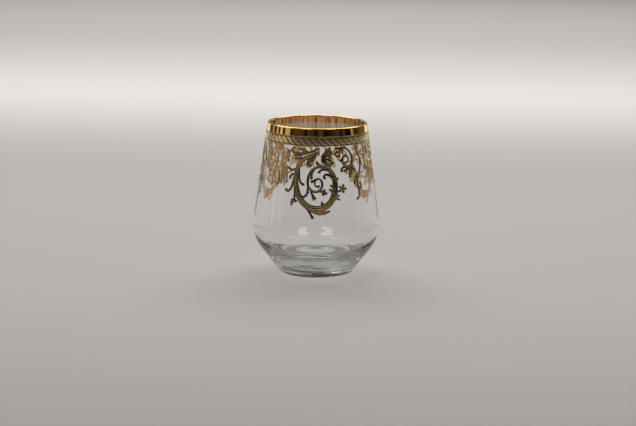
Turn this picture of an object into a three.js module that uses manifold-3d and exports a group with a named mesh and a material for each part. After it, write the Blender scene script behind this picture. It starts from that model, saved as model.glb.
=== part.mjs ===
/*
 * Stemless glass tumbler with fired gilding: a heavy-based clear glass whose wall leans out from the
 * foot to a round shoulder and in again to the lip, a gilded lip, a plain and a chased gold band below
 * it, and a hanging frieze of acanthus scrolls in raised gold, repeated three times round the glass.
 * Millimetres, +Z up. The origin is on the table at the centre of the base, and the front faces -Y.
 */
import * as THREE from 'three';
import { mergeVertices } from 'three/addons/utils/BufferGeometryUtils.js';
import Module from 'manifold-3d';

// Outside of the glass: two cones that would meet at the shoulder corner, which is rounded
const HEIGHT = 104;
const RIM_RADIUS = 33.7;
const SHOULDER_RADIUS = 44.6;
const SHOULDER_HEIGHT = 26.2;
const SHOULDER_ROUND = 27.5;
const FOOT_RADIUS = 24.2;
const FOOT_ROUND = 4.4;
const PUNT_RADIUS = 14;
const PUNT_DEPTH = 1.5;

// Inside of the glass
const LIP_WALL = 1.6;
const SIDE_WALL = 2.2;
const FLOOR_THICKNESS = 15;
const FLOOR_ROUND = 17;

// Gold films: how far they lie off the glass, how thick they are, and the line left between two films
const SEAT = 0.15;
const FILM = 0.2;
const FILM_GAP = 0.3;

// Bands, measured down from the lip
const LIP_GILDING_DROP = 1.4;
const LIP_GILDING_INSIDE = 1.6;
const BRIGHT_BAND_WIDTH = 3.1;
const CHASED_BAND_WIDTH = 6.4;
const CHASED_BORDER = 0.7;
const CHASED_RELIEF = 0.15;

// Frieze of scrolls under the bands
const REPEATS = 3;
const FRIEZE_DROP = 47.6;
const MOTIF_GAP = 1.3;
const KNOB_RADIUS = 0.95;
const STEM_WIDTH = 3.8;
const VINE_WIDTH = 1.35;

// Facets
const GLASS_SEGMENTS = 40;
const ARC_TOLERANCE = 0.09;
const STEPS_PER_POINT = 1;
const KNOB_SIDES = 6;
const FILM_TOLERANCE = 0.05;

const LIP_ROUND = 0.46 * LIP_WALL;
const BRIGHT_BAND_TOP = HEIGHT - LIP_GILDING_DROP - FILM_GAP;
const BRIGHT_BAND_BOTTOM = BRIGHT_BAND_TOP - BRIGHT_BAND_WIDTH;
const CHASED_BAND_TOP = BRIGHT_BAND_BOTTOM - FILM_GAP;
const CHASED_BAND_BOTTOM = CHASED_BAND_TOP - CHASED_BAND_WIDTH;
const FRIEZE_TOP = CHASED_BAND_BOTTOM - FILM_GAP;

const wasm = await Module();
wasm.setup();

const point = (r, z) => new THREE.Vector2(r, z);

// Corner points joined by straight lines, with each corner that has a radius rounded by a tangent arc.
function roundedLine(corners) {
  const line = [];
  corners.forEach(({ at, round = 0 }, i) => {
    if (round === 0) {
      line.push(at.clone());
      return;
    }
    const back = corners[i - 1].at.clone().sub(at).normalize();
    const ahead = corners[i + 1].at.clone().sub(at).normalize();
    const halfAngle = Math.acos(back.dot(ahead)) / 2;
    const toCentre = back.clone().add(ahead).normalize().multiplyScalar(round / Math.sin(halfAngle));
    const centre = at.clone().add(toCentre);
    const reach = round / Math.tan(halfAngle);
    const from = at.clone().addScaledVector(back, reach).sub(centre).angle();
    const to = at.clone().addScaledVector(ahead, reach).sub(centre).angle();
    const turn = Math.atan2(Math.sin(to - from), Math.cos(to - from));
    const steps = Math.ceil(Math.abs(turn) / (2 * Math.acos(1 - ARC_TOLERANCE / round)));
    for (let step = 0; step <= steps; step++) {
      const angle = from + (turn * step) / steps;
      line.push(point(centre.x + round * Math.cos(angle), centre.y + round * Math.sin(angle)));
    }
  });
  return line;
}

// A profile in (radius, height) turned round the Z axis.
function turned(profile) {
  return new THREE.LatheGeometry(profile, GLASS_SEGMENTS).rotateX(Math.PI / 2);
}

// The line moved sideways by a distance, to the right of its direction of travel.
function offsetLine(line, distance) {
  return line.map((at, i) => {
    const before = line[Math.max(i - 1, 0)];
    const after = line[Math.min(i + 1, line.length - 1)];
    const along = after.clone().sub(before).normalize();
    return point(at.x + along.y * distance, at.y - along.x * distance);
  });
}

// A ring of film: its back follows one line on the glass, a seat away, and its face lies off another.
function filmRing(backLine, faceLine, thickness) {
  const back = offsetLine(backLine, SEAT);
  const face = faceLine.map((at, i) => offsetLine(faceLine, SEAT + thickness[i])[i]);
  return turned([...face, ...back.reverse(), face[0].clone()]);
}

// The glass, from the middle of the punt out over the foot, up to the lip and down to the inner floor
const outerCorners = [
  { at: point(PUNT_RADIUS, 0) },
  { at: point(FOOT_RADIUS, 0), round: FOOT_ROUND },
  { at: point(SHOULDER_RADIUS, SHOULDER_HEIGHT), round: SHOULDER_ROUND },
  { at: point(RIM_RADIUS, HEIGHT), round: LIP_ROUND },
];

// Inside, one cone runs from the lip to the floor, a wall inside the shoulder, and rounds into the floor.
const lipInside = point(RIM_RADIUS - LIP_WALL, HEIGHT);
const shoulderInside = point(SHOULDER_RADIUS - SIDE_WALL, SHOULDER_HEIGHT);
const floorShare = (HEIGHT - FLOOR_THICKNESS) / (HEIGHT - SHOULDER_HEIGHT);
const floorEdge = lipInside.clone().lerp(shoulderInside, floorShare);
const floorMiddle = point(0, FLOOR_THICKNESS);

const wallLine = roundedLine([
  ...outerCorners,
  { at: lipInside, round: LIP_ROUND },
  { at: floorEdge, round: FLOOR_ROUND },
  { at: floorMiddle },
]);

// The punt is a shallow dish whose height follows a cosine from its middle to its edge.
const puntLine = [0, 0.35, 0.7].map((share) =>
  point(share * PUNT_RADIUS, PUNT_DEPTH * 0.5 * (1 + Math.cos(Math.PI * share))),
);

// Outside radius of the wall at a height, read off the rounded outer line.
const outerLine = roundedLine([...outerCorners.slice(0, 3), { at: outerCorners[3].at }]).slice(1);
function outsideRadius(height) {
  const next = outerLine.findIndex((at) => at.y >= height);
  const above = outerLine[next];
  const below = outerLine[next - 1];
  return THREE.MathUtils.mapLinear(height, below.y, above.y, below.x, above.x);
}
const onWall = (height) => point(outsideRadius(height), height);

// Gilding over the lip: the part of the wall line between two heights on either side of the crest.
function lipLine() {
  const down = shoulderInside.clone().sub(lipInside).normalize();
  return roundedLine([
    { at: onWall(HEIGHT - LIP_GILDING_DROP) },
    { at: outerCorners[3].at, round: LIP_ROUND },
    { at: lipInside, round: LIP_ROUND },
    { at: lipInside.clone().addScaledVector(down, LIP_GILDING_INSIDE) },
  ]);
}

// Drawing of the frieze, in flat film, on squares of about a millimetre that start at the middle of the
// great scroll, under the bands. A stroke is a ribbon along a smooth line through a few points, (across,
// down), with a width at its start, middle and end. A knob is a round dot.
function strokeFilm(points, [start, middle, end]) {
  const line = new THREE.SplineCurve(points.map(([across, down]) => point(across, -down)));
  const steps = Math.ceil(STEPS_PER_POINT * (points.length - 1));
  const corners = [];
  const faces = [];
  for (let step = 0; step <= steps; step++) {
    const t = step / steps;
    const at = line.getPoint(t);
    const along = line.getTangent(t);
    const swell = 4 * t * (1 - t);
    const half = 0.5 * (THREE.MathUtils.lerp(start, end, t) + swell * (middle - (start + end) / 2));
    const left = [at.x - along.y * half, at.y + along.x * half];
    const right = [at.x + along.y * half, at.y - along.x * half];
    corners.push(...left, 0, ...right, 0, ...right, FILM, ...left, FILM);
  }
  // Each section is a rectangle of four corners, and each side of it runs on to the next section.
  for (let section = 0; section < 4 * steps; section += 4) {
    for (let side = 0; side < 4; side++) {
      const [a, b] = [section + side, section + ((side + 1) % 4)];
      faces.push(a, a + 4, b, b, a + 4, b + 4);
    }
  }
  const last = 4 * steps;
  faces.push(0, 1, 2, 0, 2, 3, last, last + 2, last + 1, last, last + 3, last + 2);
  const ribbon = new THREE.BufferGeometry();
  ribbon.setAttribute('position', new THREE.Float32BufferAttribute(corners, 3));
  ribbon.setIndex(faces);
  return ribbon;
}

function knobFilm([across, down], radius = KNOB_RADIUS) {
  const dot = new THREE.CylinderGeometry(radius, radius, FILM, KNOB_SIDES).rotateX(Math.PI / 2);
  return dot.translate(across, -down, FILM / 2);
}

// A vine: a thin stroke that ends in a knob. A leaf: a stroke that swells and comes to a point.
const vine = (points, root = VINE_WIDTH) => [
  strokeFilm(points, [root, VINE_WIDTH, 0.75 * VINE_WIDTH]),
  knobFilm(points.at(-1)),
];
const leaf = (points, breadth) => [strokeFilm(points, [0.5 * breadth, breadth, 0.3 * breadth])];

// A flower of round petals that overlap a larger round middle.
function floret([across, down], petals, petalRadius) {
  const ring = Array.from({ length: petals }, (_, i) => {
    const angle = (2 * Math.PI * i) / petals;
    const reach = 2 * petalRadius;
    return knobFilm([across + reach * Math.cos(angle), down + reach * Math.sin(angle)], petalRadius);
  });
  return [...ring, knobFilm([across, down], 1.4 * petalRadius)];
}

// The great scroll: a thick stem that leaves the band, sweeps round to the left and under, and winds
// in to the eye of the spiral, with leaves, tendrils and a flower growing from it.
const greatScroll = [
  strokeFilm(
    [[1.2, 3.4], [-5, 6.1], [-10.9, 9.6], [-14, 15.2], [-14.6, 21.6], [-13.6, 28], [-11, 34.2],
      [-6, 39.2], [-0.4, 40.9], [5.4, 39.7], [9.9, 35.9], [12.3, 30], [12.8, 24], [11.5, 18.8],
      [8.4, 15], [4.6, 13.5]],
    [1.4, STEM_WIDTH, 1.8],
  ),
  strokeFilm(
    [[8.4, 15], [4.6, 13.5], [0.2, 13.4], [-3.4, 15.4], [-5.5, 19], [-6.1, 23.4], [-5.2, 27],
      [-2.2, 29.3], [1.4, 29.1], [3.7, 26.2], [3.4, 22.7], [1.2, 20.9], [-1, 22.2], [-1.1, 25],
      [0.6, 26.5]],
    [1.8, 1.7, 1],
  ),
  knobFilm([1.2, 26.1]),
  ...vine([[0.2, 21.2], [-1.6, 22.2], [-3.2, 22.9]]),
  ...vine([[-1.4, 14.4], [-3.3, 17], [-3.6, 20.6]]),
  ...leaf([[-0.4, 4.2], [-2, 6.8], [-3.8, 9], [-5.9, 10.4], [-6, 12], [-4.6, 12.6]], 2.4),
  knobFilm([-4.5, 12.4]),
  ...leaf([[-2.6, 6], [-5, 7.6], [-6.9, 8.3]], 1.3),
  ...leaf([[-8.6, 7.6], [-12.6, 7.9], [-16.8, 8.3]], 1.4),
  ...leaf([[1, 3.6], [1.1, 4.8], [0.9, 6]], 1.3),
  ...vine([[-15.6, 19], [-16.9, 25], [-18.2, 28.6], [-19.8, 29.9], [-21.5, 29.2]]),
  ...vine([[-15.6, 15.2], [-18.4, 15.7], [-20.6, 14.4]]),
  ...vine([[-15.6, 24.4], [-14.9, 29.6], [-14.9, 35.4]]),
  strokeFilm([[-14.9, 34.8], [-16.7, 38.8]], [1.2, 1.2, 1.4]),
  knobFilm([-16.4, 35.8]),
  knobFilm([-13.9, 36.2]),
  ...vine([[-12.6, 13.4], [-12.4, 18.8], [-11.4, 23.2], [-9.3, 25]]),
  ...vine([[-13, 28.2], [-11, 31.9], [-8.8, 33.2], [-6.9, 32]]),
  strokeFilm([[-4.4, 28.2], [-2.9, 31.2], [-1.7, 33.9]], [0.9, 1.6, 2.4]),
  knobFilm([-1.6, 34], 1.3 * KNOB_RADIUS),
  strokeFilm([[1.6, 29.1], [3.8, 29.6], [5.2, 30.6]], [1.35, 1.35, 1.2]),
  knobFilm([5.2, 30.9], 1.4 * KNOB_RADIUS),
  ...leaf([[-4.8, 41], [0.4, 43.4], [4.8, 43.5], [9, 42.2]], 2.1),
  ...vine([[-8.2, 38.4], [-4.8, 42.4], [-2.4, 46.6]]),
  ...leaf([[5.6, 39.6], [4.2, 38.4], [3.4, 36]], 1.7),
  ...leaf([[9.6, 36.6], [12.8, 34], [15.9, 35.2]], 1.8),
  ...leaf([[11, 34.2], [13.2, 32.2], [15.8, 32.5]], 1.7),
  strokeFilm([[12.2, 30.6], [17, 28.5]], [1.5, 1.1, 1]),
  ...floret([18, 28], 5, 1.05),
  ...leaf([[12.6, 22.8], [13.8, 21.9], [15.3, 20.5]], 1.6),
  ...leaf([[12.5, 29.4], [11.2, 26.4], [9, 25.3]], 1.6),
  ...leaf([[12, 32], [10.2, 29], [8.3, 27.9]], 1.6),
  ...vine([[11.8, 20.4], [9.2, 18.9], [6.4, 18.2], [5, 19.2], [5.4, 20.4]], 2),
  ...vine([[8.2, 15], [5, 14.9], [2.8, 15.3], [1.7, 16.6]], 1.6),
  ...leaf([[7, 13.8], [2.6, 12.4], [0.4, 11], [-0.5, 9.2]], 1.8),
];

// The long open leaf that lies under the band to the left of the scroll's root.
const crownLeaf = [
  strokeFilm(
    [[1.8, 1.2], [-5, 3.5], [-10.5, 4.5], [-15.8, 4.5], [-18.7, 3.6], [-18.9, 1.9], [-17.8, 1.1]],
    [1, 1.5, 0.9],
  ),
  ...leaf([[-9.6, 4.6], [-13.4, 5.9], [-17, 6.3]], 1.3),
  ...leaf([[-6.4, 3.8], [-10, 2.1], [-13.8, 1.5]], 1.7),
  knobFilm([-17.6, 1.4]),
];

// The drooping leaf to the right of the root, with two lobes and a curled tip.
const hangingLeaf = [
  strokeFilm(
    [[9.4, 1], [7.2, 3.4], [5.2, 6.2], [4.8, 8.6], [6.4, 11], [8.8, 11.9], [10.8, 11.2]],
    [1.4, 2.5, 1.1],
  ),
  knobFilm([10.8, 11], 1.2 * KNOB_RADIUS),
  ...leaf([[8.4, 2.2], [9.8, 3.8], [10.7, 5.6]], 1.8),
  ...leaf([[6.2, 5], [8.6, 6], [10.7, 7.8]], 2.1),
  ...vine([[5.4, 8.4], [7.8, 8.3], [9.4, 9.3]]),
];

// The small volute on the right branch, wound the other way, with its arch, loop and hooks.
const volute = [
  strokeFilm(
    [[17.4, 1.1], [21.6, 1.2], [25, 3.4], [27, 7], [27, 11], [24.6, 13.4], [21.2, 13], [19.1, 10.4],
      [19.4, 7.6], [21.6, 6.4], [23.8, 7.6], [23.7, 10], [21.8, 10.9]],
    [1.3, 2, 1.1],
  ),
  knobFilm([21.6, 10.9]),
  ...vine([[19.1, 9.4], [17.4, 9.3]]),
  strokeFilm([[13.4, 1.1], [17.2, 1.2], [19.1, 2.6], [19.5, 4.8]], [1, 1.4, 0.9]),
  strokeFilm([[17.2, 1.6], [16.9, 6.9]], [1, 1.2, 1]),
  strokeFilm([[17.2, 3.7], [14.6, 3.5], [12.4, 4.9]], [0.9, 1, 0.9]),
  strokeFilm([[12.4, 4.8], [14.4, 6.1], [16.9, 6.6]], [0.9, 1, 0.9]),
  ...vine([[22.8, 13.5], [19.6, 13.8], [18.2, 14.8], [18.1, 16.2]]),
  ...vine([[24.8, 14], [22.4, 15.2], [20.6, 16.4]]),
  ...leaf([[25.2, 13], [25.7, 17], [24.2, 21.6]], 2.8),
  ...leaf([[26.2, 12.6], [28.4, 14.8], [29.5, 17], [31.2, 17.9]], 1.8),
];

// The tendril that hangs beside the volute, with its leaves, curl and hooked end.
const tendril = [
  strokeFilm(
    [[31.2, 1.1], [33.4, 4.8], [35, 9.4], [35, 13.4], [33.6, 17.6], [31.9, 21.4], [31.1, 25.4],
      [31.9, 30.2], [31.6, 33.8], [30, 35.6]],
    [1.1, 1.8, 1.1],
  ),
  knobFilm([29.9, 35.4]),
  ...vine([[31.2, 28], [33.4, 28.4], [34.5, 26.8], [33.4, 25.2]]),
  ...leaf([[31.9, 21], [29.2, 22.9], [28.4, 25.2], [29, 27.2]], 1.9),
  ...leaf([[33, 18.8], [30.4, 19.9], [28.5, 21.4]], 1.5),
  ...leaf([[34.8, 9.4], [36, 10.8], [37.3, 12.6]], 1.7),
];

// The hanging palmette between one repeat and the next: a middle stem and paired leaves and drops.
const palmette = [
  strokeFilm([[-31, 1.1], [-31.4, 10], [-32, 18], [-32, 24.8]], [2.2, 2.1, 1]),
  knobFilm([-32, 25]),
  strokeFilm([[-24.2, 1.2], [-22, 5.6], [-24.4, 10.6], [-31.2, 11.6]], [1.1, 2, 1.2]),
  strokeFilm([[-39.2, 1.2], [-42.4, 5.6], [-39, 10.6], [-31.2, 11.6]], [1.1, 2, 1.2]),
  ...vine([[-28.4, 11.6], [-26.4, 17], [-26.5, 25]], 1.8),
  ...vine([[-26.2, 11.2], [-24, 16.6], [-24, 22.4]], 1.6),
  ...vine([[-25, 14.6], [-22.4, 18.6], [-21.6, 23.6]]),
  ...vine([[-35.6, 11.4], [-38.4, 18], [-38.6, 25.4]], 1.8),
  ...leaf([[-43.4, 7.4], [-42.2, 11], [-38.2, 16.8]], 1.8),
  knobFilm([-43.3, 7.8]),
  ...leaf([[-31.4, 4], [-27.6, 6.2], [-26.4, 8.6]], 2.1),
  ...leaf([[-31.4, 4], [-35.4, 6.2], [-36.8, 8.6]], 2.1),
  ...leaf([[-31.8, 15.4], [-29.4, 17.6], [-29.4, 22]], 1.9),
  ...leaf([[-31.8, 15.4], [-34.8, 18], [-35.4, 22.8]], 1.9),
];

function solidOf(geometry) {
  geometry.deleteAttribute('normal');
  geometry.deleteAttribute('uv');
  const merged = mergeVertices(geometry);
  const vertProperties = merged.attributes.position.array;
  const triVerts = new Uint32Array(merged.index.array);
  return new wasm.Manifold(new wasm.Mesh({ numProp: 3, vertProperties, triVerts }));
}

// The strokes of a motif joined into one flat sheet of film, drawn on the grid.
function flatSheet(strokes) {
  const whole = strokes.map(solidOf).reduce((sheet, stroke) => sheet.add(stroke));
  const joined = whole.simplify(FILM_TOLERANCE).getMesh();
  const sheet = new THREE.BufferGeometry();
  sheet.setAttribute('position', new THREE.BufferAttribute(joined.vertProperties, joined.numProp));
  sheet.setIndex(new THREE.BufferAttribute(joined.triVerts, 1));
  sheet.computeBoundingBox();
  return sheet;
}

const motifs = {
  great_scroll: flatSheet(greatScroll),
  crown_leaf: flatSheet(crownLeaf),
  hanging_leaf: flatSheet(hangingLeaf),
  volute: flatSheet(volute),
  tendril: flatSheet(tendril),
  palmette: flatSheet(palmette),
};

// The whole drawing and the gap to the next repeat fill one repeat, and its depth fills the drop.
const drawing = Object.values(motifs).reduce((box, sheet) => box.union(sheet.boundingBox), new THREE.Box3());
const squareAngle = (2 * Math.PI) / REPEATS / (drawing.max.x - drawing.min.x + MOTIF_GAP);
const squareHeight = FRIEZE_DROP / -drawing.min.y;

// The sheet bent round the glass: across becomes an angle, down a height, and thickness a radius.
function bentRound(sheet, angle) {
  const bent = sheet.clone();
  const { position } = bent.attributes;
  for (let i = 0; i < position.count; i++) {
    const height = FRIEZE_TOP + position.getY(i) * squareHeight;
    const radius = outsideRadius(height) + SEAT + position.getZ(i);
    const turn = angle + position.getX(i) * squareAngle;
    position.setXYZ(i, radius * Math.sin(turn), -radius * Math.cos(turn), height);
  }
  return bent;
}

const clearGlass = () => {
  const look = { color: 0xe8ebea, roughness: 0.03, metalness: 0, transparent: true, opacity: 0.35 };
  return new THREE.MeshStandardMaterial(look);
};
const brightGold = () => new THREE.MeshStandardMaterial({ color: 0xd9ad5a, roughness: 0.08, metalness: 1 });
const chasedGold = () => new THREE.MeshStandardMaterial({ color: 0xb99a62, roughness: 0.35, metalness: 1 });
const raisedGold = () => new THREE.MeshStandardMaterial({ color: 0xb8914a, roughness: 0.25, metalness: 1 });

const tumbler = new THREE.Group();
function addPiece(name, geometry, material) {
  const mesh = new THREE.Mesh(geometry, material);
  mesh.name = name;
  tumbler.add(mesh);
}

addPiece('glass_body', turned([...puntLine, ...wallLine]), clearGlass());

const lip = lipLine();
addPiece('lip_gilding', filmRing(lip, lip, lip.map(() => FILM)), brightGold());

const brightLine = [BRIGHT_BAND_BOTTOM, BRIGHT_BAND_TOP].map(onWall);
addPiece('bright_band', filmRing(brightLine, brightLine, [FILM, FILM]), brightGold());

// The chased band has a raised border along either edge, sloping down to its field.
const raised = FILM + CHASED_RELIEF;
const chasedLine = [CHASED_BAND_BOTTOM, CHASED_BAND_TOP].map(onWall);
const chasedFace = [
  CHASED_BAND_BOTTOM,
  CHASED_BAND_BOTTOM + CHASED_BORDER,
  CHASED_BAND_BOTTOM + 2 * CHASED_BORDER,
  CHASED_BAND_TOP - 2 * CHASED_BORDER,
  CHASED_BAND_TOP - CHASED_BORDER,
  CHASED_BAND_TOP,
].map(onWall);
const chasedThickness = [raised, raised, FILM, FILM, raised, raised];
addPiece('chased_band', filmRing(chasedLine, chasedFace, chasedThickness), chasedGold());

for (const [name, sheet] of Object.entries(motifs)) {
  for (let repeat = 0; repeat < REPEATS; repeat++) {
    const angle = (2 * Math.PI * repeat) / REPEATS;
    addPiece(`${name}_${repeat + 1}`, bentRound(sheet, angle), raisedGold());
  }
}

export default tumbler;
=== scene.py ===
# Gilded stemless tumbler: a heavy-based clear glass with a gold lip, a bright and a chased gold band, and a
# hanging frieze of raised gold scrolls. Metres, +Z up, the front of the glass towards -Y.
import math
import bmesh
import bpy
import numpy as np
from mathutils import Euler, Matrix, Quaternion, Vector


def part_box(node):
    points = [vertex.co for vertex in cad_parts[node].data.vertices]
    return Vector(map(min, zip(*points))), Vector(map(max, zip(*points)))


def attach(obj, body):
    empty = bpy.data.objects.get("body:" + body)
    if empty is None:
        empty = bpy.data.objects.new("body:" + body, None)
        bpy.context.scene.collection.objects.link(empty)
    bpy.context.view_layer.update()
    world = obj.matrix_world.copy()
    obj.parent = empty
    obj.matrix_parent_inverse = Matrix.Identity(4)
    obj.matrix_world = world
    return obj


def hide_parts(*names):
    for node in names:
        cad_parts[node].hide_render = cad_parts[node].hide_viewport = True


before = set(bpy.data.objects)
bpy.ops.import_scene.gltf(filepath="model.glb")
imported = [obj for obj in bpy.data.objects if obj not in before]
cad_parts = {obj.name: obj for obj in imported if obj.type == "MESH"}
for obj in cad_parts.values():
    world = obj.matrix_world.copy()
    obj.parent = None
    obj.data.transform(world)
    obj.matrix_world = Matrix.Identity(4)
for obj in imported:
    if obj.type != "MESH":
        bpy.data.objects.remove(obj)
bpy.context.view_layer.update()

# The glass: clear crystal blown in a mould, with a thick base, a wall that leans out from the foot to a
# round shoulder and in again to the top, and a lip that was cut and then melted round in the flame.
MM = 0.001
glass_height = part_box("glass_body")[1][2]
rim_radius = 33.7 * MM
shoulder_radius = 44.6 * MM
shoulder_height = 26.2 * MM
shoulder_round = 27.5 * MM
foot_radius = 24.2 * MM
foot_round = 4.4 * MM
punt_radius = 14 * MM
punt_depth = 1.5 * MM
punt_edge_round = 0.6 * MM
lip_wall = 1.6 * MM
lip_round = 0.46 * lip_wall
side_wall = 2.2 * MM
floor_thickness = 15 * MM
floor_round = 17 * MM
ring_depth = 0.6 * MM
ring_fade_start = 0.6 * shoulder_height
ring_fade_end = 0.85 * shoulder_height
turn_steps = 288
weld_distance = 1e-7


def rounded_line(corners, arc_steps=28):
    """Straight runs between corners (radius, height, round). Where round is over 0 the corner becomes the arc
    that touches both runs: its centre lies on their bisector, round / sin(half the angle) from the corner."""
    places = np.array([c[:2] for c in corners])
    line = []
    for i, (_, _, rounding) in enumerate(corners):
        if rounding == 0:
            line.append(places[i][None])
            continue
        back = places[i - 1] - places[i]
        ahead = places[i + 1] - places[i]
        back = back / np.linalg.norm(back)
        ahead = ahead / np.linalg.norm(ahead)
        half_angle = math.acos(back @ ahead) / 2
        bisector = (back + ahead) / np.linalg.norm(back + ahead)
        centre = places[i] + bisector * rounding / math.sin(half_angle)
        reach = rounding / math.tan(half_angle)
        start = places[i] + back * reach - centre
        stop = places[i] + ahead * reach - centre
        first = math.atan2(start[1], start[0])
        turn = (math.atan2(stop[1], stop[0]) - first + math.pi) % (2 * math.pi) - math.pi
        angles = first + turn * np.linspace(0, 1, arc_steps)
        line.append(centre + rounding * np.stack([np.cos(angles), np.sin(angles)], axis=1))
    return np.concatenate(line)


def grid_faces(rows, columns, wrap_rows, wrap_columns):
    """Quads of a grid of points, row by row, with either direction joined up where it wraps."""
    row = np.arange(rows if wrap_rows else rows - 1)[:, None]
    column = np.arange(columns if wrap_columns else columns - 1)[None, :]
    next_row = (row + 1) % rows
    next_column = (column + 1) % columns
    corners = [row * columns + column, next_row * columns + column]
    corners += [next_row * columns + next_column, row * columns + next_column]
    return np.stack(np.broadcast_arrays(*corners), -1).reshape(-1, 4)


def turned(line, steps, closed):
    """A line of (radius, height) turned round the axis: x = r sin(a), y = -r cos(a), z = height, on a grid of
    angle by place along the line. closed joins the line's end to its start."""
    angles = np.linspace(0, 2 * np.pi, steps, endpoint=False)[:, None]
    radius = line[None, :, 0]
    grid = np.broadcast_arrays(radius * np.sin(angles), -radius * np.cos(angles), line[None, :, 1])
    return np.stack(grid, -1).reshape(-1, 3), grid_faces(steps, len(line), True, closed)


def add_piece(name, points, faces, materials):
    """A mesh object at the origin from point and quad arrays, smooth all over."""
    mesh = bpy.data.meshes.new(name)
    mesh.from_pydata(np.asarray(points).tolist(), [], np.asarray(faces).tolist())
    mesh.shade_smooth()
    for material in materials:
        mesh.materials.append(material)
    piece = bpy.data.objects.new(name, mesh)
    bpy.context.scene.collection.objects.link(piece)
    return piece


def new_material(name):
    """An empty node material, its tree and its output node."""
    material = bpy.data.materials.new(name)
    material.use_nodes = True
    tree = material.node_tree
    tree.nodes.clear()
    return material, tree, tree.nodes.new("ShaderNodeOutputMaterial")


def add_node(tree, kind, **settings):
    """One node: a setting that names an input sets it or links the socket given, others set the node."""
    node = tree.nodes.new(kind)
    for name, value in settings.items():
        socket = node.inputs.get(name.replace("_", " "))
        if socket is None:
            setattr(node, name, value)
        elif isinstance(value, bpy.types.NodeSocket):
            tree.links.new(value, socket)
        else:
            socket.default_value = value
    return node


def clear_glass():
    """Clear glass with the faint, slow waviness of blown ware, which lets lamps through to what is behind.
    The base also has the fine level rings that the turning mould leaves, which fade out short of the
    shoulder: a noise stretched sideways, so that it changes with height far faster than round the glass."""
    material, tree, output = new_material("clear_glass")
    place = add_node(tree, "ShaderNodeTexCoord")
    stretched = add_node(tree, "ShaderNodeMapping", Vector=place.outputs["Object"], Scale=(1, 1, 0.35))
    waves = add_node(tree, "ShaderNodeTexNoise", Vector=stretched.outputs[0], Scale=55, Detail=1)
    ripple = add_node(tree, "ShaderNodeBump", Strength=0.02, Distance=0.6 * MM, Height=waves.outputs[0])
    squeezed = add_node(tree, "ShaderNodeMapping", Vector=place.outputs["Object"], Scale=(0.1, 0.1, 1))
    rings = add_node(tree, "ShaderNodeTexNoise", Vector=squeezed.outputs[0], Scale=420, Detail=0)
    split = add_node(tree, "ShaderNodeSeparateXYZ", Vector=place.outputs["Object"])
    in_base = add_node(
        tree, "ShaderNodeMapRange", Value=split.outputs["Z"], From_Min=ring_fade_start,
        From_Max=ring_fade_end, To_Min=1, To_Max=0,
    )
    marks = add_node(tree, "ShaderNodeBump", Distance=ring_depth, Height=rings.outputs[0])
    tree.links.new(in_base.outputs[0], marks.inputs["Strength"])
    tree.links.new(ripple.outputs[0], marks.inputs["Normal"])
    body = add_node(tree, "ShaderNodeBsdfPrincipled", Roughness=0, IOR=1.5, Normal=marks.outputs[0])
    body.inputs["Base Color"].default_value = (0.985, 0.99, 0.985, 1)
    body.inputs["Transmission Weight"].default_value = 1
    clear = add_node(tree, "ShaderNodeBsdfTransparent", Color=(0.9, 0.9, 0.9, 1))
    rays = add_node(tree, "ShaderNodeLightPath")
    mix = add_node(tree, "ShaderNodeMixShader", Fac=rays.outputs["Is Shadow Ray"])
    tree.links.new(body.outputs[0], mix.inputs[1])
    tree.links.new(clear.outputs[0], mix.inputs[2])
    tree.links.new(mix.outputs[0], output.inputs["Surface"])
    return material


lip_inside_edge = np.array([rim_radius - lip_wall, glass_height])
shoulder_inside = np.array([shoulder_radius - side_wall, shoulder_height])
inner_way = (shoulder_inside - lip_inside_edge) / np.linalg.norm(shoulder_inside - lip_inside_edge)
floor_edge = lip_inside_edge + inner_way * (floor_thickness - glass_height) / inner_way[1]
punt_share = np.linspace(0, 0.92, 16)
punt_line = np.stack([punt_radius * punt_share, punt_depth * 0.5 * (1 + np.cos(np.pi * punt_share))], axis=1)
wall_line = rounded_line([
    (*punt_line[-1], 0),
    (punt_radius, 0, punt_edge_round),
    (foot_radius, 0, foot_round),
    (shoulder_radius, shoulder_height, shoulder_round),
    (rim_radius, glass_height, lip_round),
    (*lip_inside_edge, lip_round),
    (*floor_edge, floor_round),
    (0, floor_thickness, 0),
])
glass_points, glass_faces = turned(np.concatenate([punt_line[:-1], wall_line]), turn_steps, False)
glass = add_piece("blown_glass", glass_points, glass_faces, [clear_glass()])
welded = bmesh.new()
welded.from_mesh(glass.data)
bmesh.ops.remove_doubles(welded, verts=welded.verts, dist=weld_distance)
welded.to_mesh(glass.data)
welded.free()
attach(glass, "root")
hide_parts("glass_body")

# The gilded lip: liquid gold brushed over the round of the lip and fired until it bonds to the glass, so its
# back lies in the glass and its bright face stands a fraction of a millimetre proud.
gold_bond = 0.03 * MM
gold_film = 0.2 * MM
lip_drop = 1.4 * MM
lip_inside = 1.6 * MM
lip_arc_steps = 12
edge_turn = 0.02 * MM


def bright_gold():
    """Burnished fired gold: a mirror-bright metal whose colour drifts a little, as the brushed film does."""
    material, tree, output = new_material("bright_gold")
    place = add_node(tree, "ShaderNodeTexCoord")
    drift = add_node(tree, "ShaderNodeTexNoise", Vector=place.outputs["Object"], Scale=160, Detail=4)
    tint = add_node(tree, "ShaderNodeValToRGB", Fac=drift.outputs[0])
    tint.color_ramp.elements[0].color = (0.70, 0.38, 0.09, 1)
    tint.color_ramp.elements[1].color = (0.88, 0.55, 0.17, 1)
    gold = add_node(tree, "ShaderNodeBsdfPrincipled", Metallic=1, Roughness=0.1)
    tree.links.new(tint.outputs[0], gold.inputs["Base Color"])
    tree.links.new(gold.outputs[0], output.inputs["Surface"])
    return material


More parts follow.
